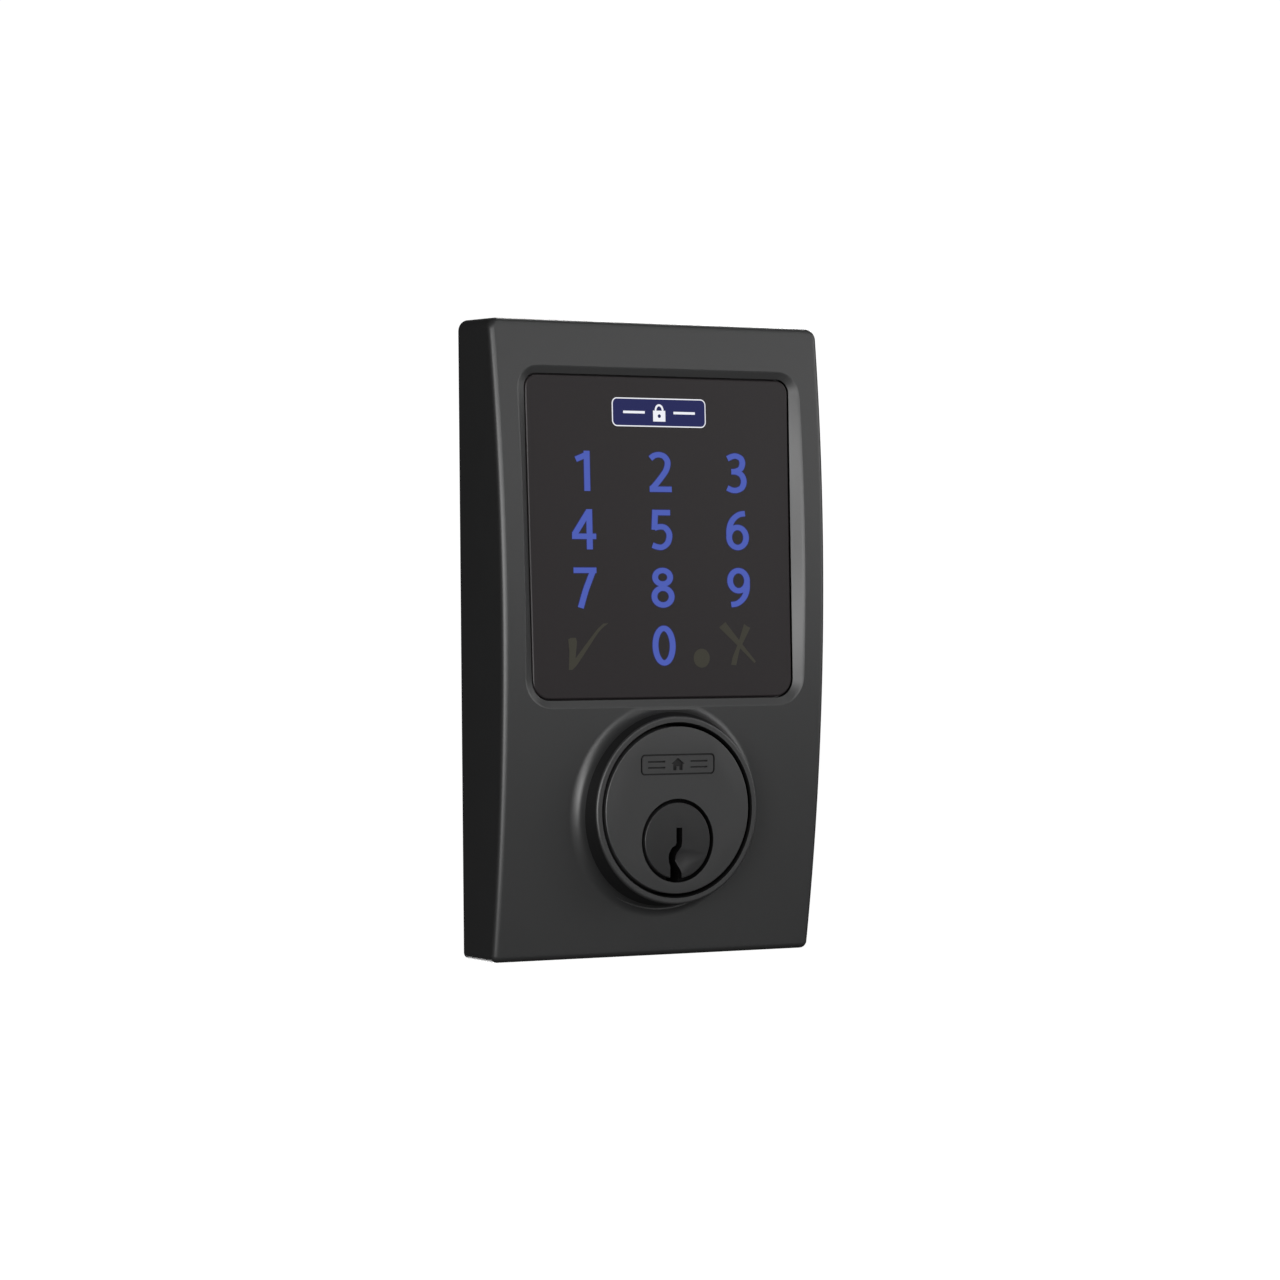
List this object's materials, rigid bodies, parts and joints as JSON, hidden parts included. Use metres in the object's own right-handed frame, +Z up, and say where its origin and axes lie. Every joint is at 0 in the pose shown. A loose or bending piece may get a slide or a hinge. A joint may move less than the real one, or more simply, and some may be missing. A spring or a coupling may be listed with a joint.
{
  "type": "keypad deadbolt outdoor module",
  "caption": "Outdoor half of a keypad deadbolt: tall black casing with a curved front, recessed touchscreen keypad above a raised round key cylinder, tailpiece and mounting posts behind.",
  "frame": {"origin": "on the axis of the key plug and tailpiece, in the plane of the door face", "axes": "+Z up, +X to the right as the user faces the lock, front along -Y, +Y into the door"},
  "size_m": [0.0776, 0.0787, 0.1282],
  "materials": {
    "black_coated_zinc": "fine matt black powder coat",
    "black_glass": "smooth satin black touch surface",
    "grey_foam": "closed-cell foam",
    "clear_film": "clear film",
    "white_plastic": "moulded white",
    "green_board": "solder mask",
    "chip_black": "moulded",
    "cream_nylon": "moulded",
    "led_yellow": "clear resin over phosphor",
    "black_plastic": "moulded black",
    "black_rubber": "moulded black",
    "zinc_steel": "bright zinc plate",
    "hard_steel": "hardened, ground",
    "brass": "machined",
    "spring_steel": "drawn wire"
  },
  "bodies": {
    "module": {"anti_drill_pin_left": "hard_steel", "anti_drill_pin_right": "hard_steel", "back_plate": "zinc_steel", "beeper": "black_plastic", "cable_grommet": "black_rubber", "cable_socket": "cream_nylon", "casing": "black_coated_zinc", "chamber_strip": "brass", "control_chip": "chip_black", "cover_screw_1": "zinc_steel", "cover_screw_2": "zinc_steel", "cover_screw_3": "zinc_steel", "cover_screw_4": "zinc_steel", "cylinder_housing": "black_coated_zinc", "cylinder_screw_1": "zinc_steel", "cylinder_screw_2": "zinc_steel", "door_seal": "black_rubber", "keypad_board": "green_board", "lens_seal": "grey_foam", "light_mask": "white_plastic", "mount_post_left": "zinc_steel", "mount_post_right": "zinc_steel", "pin_spring_1": "spring_steel", "pin_spring_2": "spring_steel", "pin_spring_3": "spring_steel", "pin_spring_4": "spring_steel", "pin_spring_5": "spring_steel", "plate_screw_1": "zinc_steel", "plate_screw_2": "zinc_steel", "plate_screw_3": "zinc_steel", "plate_screw_4": "zinc_steel", "rear_cover": "black_plastic", "row_led_1": "led_yellow", "row_led_2": "led_yellow", "row_led_3": "led_yellow", "row_led_4": "led_yellow", "touch_film": "clear_film", "touch_lens": "black_glass"},
    "turning_plug": {"plug": "black_coated_zinc", "plug_retainer": "brass"},
    "tail": {"tailpiece": "zinc_steel"},
    "key_pin_1_body": {"key_pin_1": "brass"},
    "driver_1_body": {"driver_pin_1": "hard_steel"},
    "key_pin_2_body": {"key_pin_2": "brass"},
    "driver_2_body": {"driver_pin_2": "hard_steel"},
    "key_pin_3_body": {"key_pin_3": "brass"},
    "driver_3_body": {"driver_pin_3": "hard_steel"},
    "key_pin_4_body": {"key_pin_4": "brass"},
    "driver_4_body": {"driver_pin_4": "hard_steel"},
    "key_pin_5_body": {"key_pin_5": "brass"},
    "driver_5_body": {"driver_pin_5": "hard_steel"}
  },
  "joints": [
    {"name": "plug_turn", "type": "hinge", "parent": "module", "child": "turning_plug", "pos_m": [0, 0, 0], "axis": [0, 1, 0], "range_deg": [-90, 90]},
    {"name": "tail_turn", "type": "hinge", "parent": "turning_plug", "child": "tail", "pos_m": [0, 0, 0], "axis": [0, 1, 0], "range_deg": [0, 90]},
    {"name": "key_pin_1_drop", "type": "slide", "parent": "turning_plug", "child": "key_pin_1_body", "axis": [0, 0, 1], "range_m": [-0.0031, 0]},
    {"name": "key_pin_2_drop", "type": "slide", "parent": "turning_plug", "child": "key_pin_2_body", "axis": [0, 0, 1], "range_m": [-0.0023, 0]},
    {"name": "key_pin_3_drop", "type": "slide", "parent": "turning_plug", "child": "key_pin_3_body", "axis": [0, 0, 1], "range_m": [-0.0027, 0]},
    {"name": "key_pin_4_drop", "type": "slide", "parent": "turning_plug", "child": "key_pin_4_body", "axis": [0, 0, 1], "range_m": [-0.0017, 0]},
    {"name": "key_pin_5_drop", "type": "slide", "parent": "turning_plug", "child": "key_pin_5_body", "axis": [0, 0, 1], "range_m": [-0.0025, 0]},
    {"name": "driver_1_lift", "type": "slide", "parent": "module", "child": "driver_1_body", "axis": [0, 0, 1], "range_m": [0, 0.003], "stiffness_N_per_m": 60, "springref_m": -0.002, "deforming": ["pin_spring_1"]},
    {"name": "driver_2_lift", "type": "slide", "parent": "module", "child": "driver_2_body", "axis": [0, 0, 1], "range_m": [0, 0.003], "stiffness_N_per_m": 60, "springref_m": -0.002, "deforming": ["pin_spring_2"]},
    {"name": "driver_3_lift", "type": "slide", "parent": "module", "child": "driver_3_body", "axis": [0, 0, 1], "range_m": [0, 0.003], "stiffness_N_per_m": 60, "springref_m": -0.002, "deforming": ["pin_spring_3"]},
    {"name": "driver_4_lift", "type": "slide", "parent": "module", "child": "driver_4_body", "axis": [0, 0, 1], "range_m": [0, 0.003], "stiffness_N_per_m": 60, "springref_m": -0.002, "deforming": ["pin_spring_4"]},
    {"name": "driver_5_lift", "type": "slide", "parent": "module", "child": "driver_5_body", "axis": [0, 0, 1], "range_m": [0, 0.003], "stiffness_N_per_m": 60, "springref_m": -0.002, "deforming": ["pin_spring_5"]}
  ]
}
